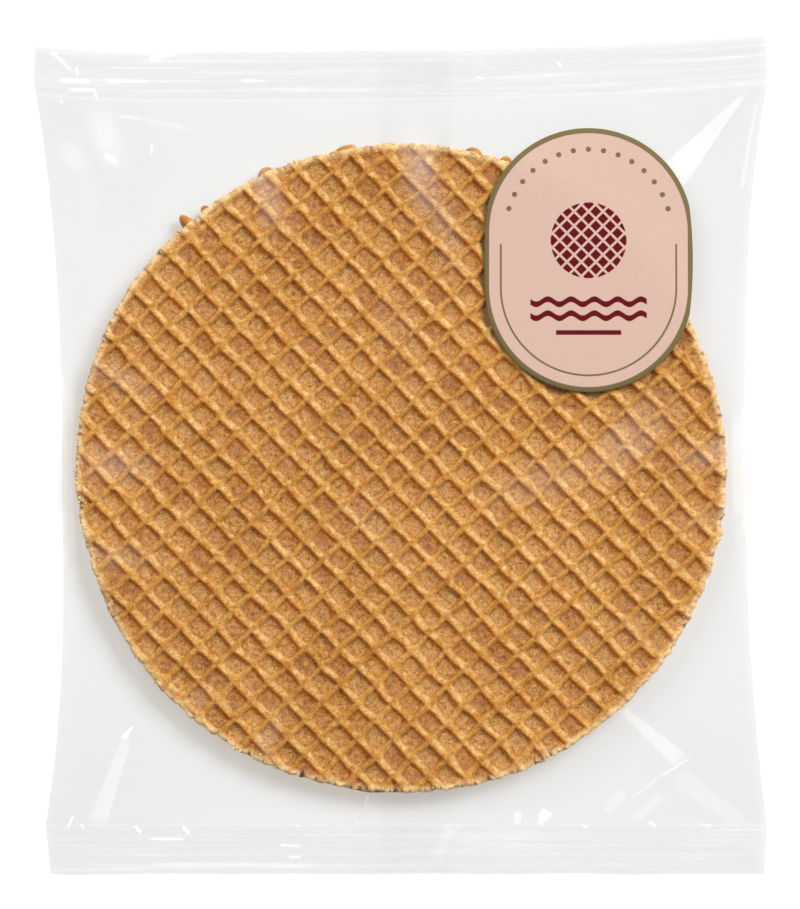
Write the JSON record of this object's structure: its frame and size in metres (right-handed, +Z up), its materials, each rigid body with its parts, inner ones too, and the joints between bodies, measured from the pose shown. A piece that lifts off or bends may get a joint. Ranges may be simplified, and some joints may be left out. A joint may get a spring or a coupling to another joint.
{
  "type": "wrapped syrup waffle",
  "caption": "Large round syrup waffle biscuit lying flat in a clear flow-wrap bag with crimped end seals and a rounded sticker on its front.",
  "frame": {"origin": "on the table, under the middle of the bag's outer box", "axes": "+X across the bag towards the sticker's side, +Y along the bag from one end seal to the other, +Z up out of the front face"},
  "size_m": [0.1581, 0.181, 0.0068],
  "materials": {
    "film": "clear glossy film, slightly milky",
    "label": "satin printed paper sticker",
    "wafer": "matte baked golden brown wafer with a pressed grid",
    "syrup": "glossy amber caramel syrup"
  },
  "bodies": {
    "root": {"film_bag": "film", "label": "label"}
  },
  "joints": []
}
